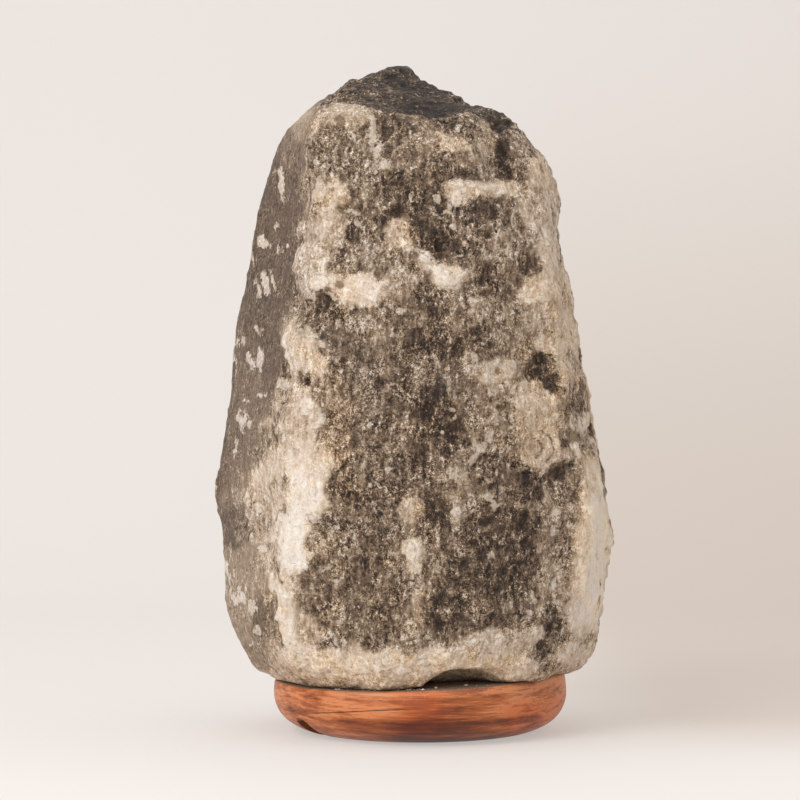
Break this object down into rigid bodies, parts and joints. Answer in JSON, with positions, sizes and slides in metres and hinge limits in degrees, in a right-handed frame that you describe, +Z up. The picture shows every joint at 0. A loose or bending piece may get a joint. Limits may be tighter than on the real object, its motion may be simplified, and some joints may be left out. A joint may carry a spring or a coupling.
{
  "type": "salt crystal lamp",
  "caption": "Table lamp made of a rough block of grey rock salt on a turned wooden base, lit from inside by a small bulb whose holder clips into the base from below.",
  "frame": {"origin": "on the turned base's axis, in the plane of its foot, where the lamp stands", "axes": "+Z up, -Y towards the front (the side in the picture), +X to the right seen from the front"},
  "size_m": [0.1704, 0.1457, 0.284],
  "materials": {
    "salt": "rough, mottled grey-brown with cream veins",
    "wood": "turned and waxed reddish hardwood, grain across",
    "zinc_steel": "zinc plated",
    "nickel_plate": "nickel plated sheet",
    "spring_steel": "bright spring strip",
    "nylon": "natural nylon",
    "white_plastic": "soft matte",
    "holder_plastic": "moulded thermoset, satin",
    "porcelain": "glazed",
    "brass": "pressed sheet",
    "solder": "dull solder",
    "black_glass": "black vitrified insulator",
    "glass": "clear, polished",
    "wire": "drawn wire",
    "tungsten": "dark coiled wire"
  },
  "bodies": {
    "lamp": {"salt_crystal": "salt", "wooden_base": "wood", "base_screws": "zinc_steel", "salt_plugs": "nylon"},
    "holder": {"holder_plate": "nickel_plate", "clip_bridge": "spring_steel", "clip_rivets": "spring_steel", "nipple": "zinc_steel", "lock_nut": "zinc_steel", "cord_grommet": "white_plastic", "holder_cap": "holder_plastic", "holder_sleeve": "holder_plastic", "contact_carrier": "porcelain", "terminal_blocks": "brass", "terminal_screws": "zinc_steel", "centre_contact": "brass", "screw_shell": "brass"},
    "wing_left": {"clip_wing_left": "spring_steel"},
    "wing_right": {"clip_wing_right": "spring_steel"},
    "bulb_end": {"bulb_contact": "solder"},
    "bulb": {"bulb_insulator": "black_glass", "bulb_cap": "nickel_plate", "bulb_glass": "glass", "bulb_stem": "glass", "lead_wires": "wire", "support_wire": "wire", "filament": "tungsten"}
  },
  "joints": [
    {"name": "holder_pull", "type": "slide", "parent": "lamp", "child": "holder", "axis": [0, 0, -1], "range_m": [0, 0.11]},
    {"name": "wing_left_flex", "type": "hinge", "parent": "holder", "child": "wing_left", "pos_m": [-0.0173, 0, 0.0125], "axis": [0, 1, 0], "range_deg": [0, 10], "stiffness_Nm_per_rad": 0.2, "springref_deg": -5.73},
    {"name": "wing_right_flex", "type": "hinge", "parent": "holder", "child": "wing_right", "pos_m": [0.0173, 0, 0.0125], "axis": [0, -1, 0], "range_deg": [0, 10], "stiffness_Nm_per_rad": 0.2, "springref_deg": -5.73},
    {"name": "bulb_lift", "type": "slide", "parent": "holder", "child": "bulb_end", "axis": [0, 0, 1], "range_m": [0, 0.0114]},
    {"name": "bulb_turn", "type": "hinge", "parent": "bulb_end", "child": "bulb", "pos_m": [0, 0, 0.04], "axis": [0, 0, 1], "range_deg": [0, 1440]}
  ],
  "couplings": [
    {"joint": "bulb_lift", "follows": "bulb_turn", "m_per_rad": 0.00044914}
  ]
}
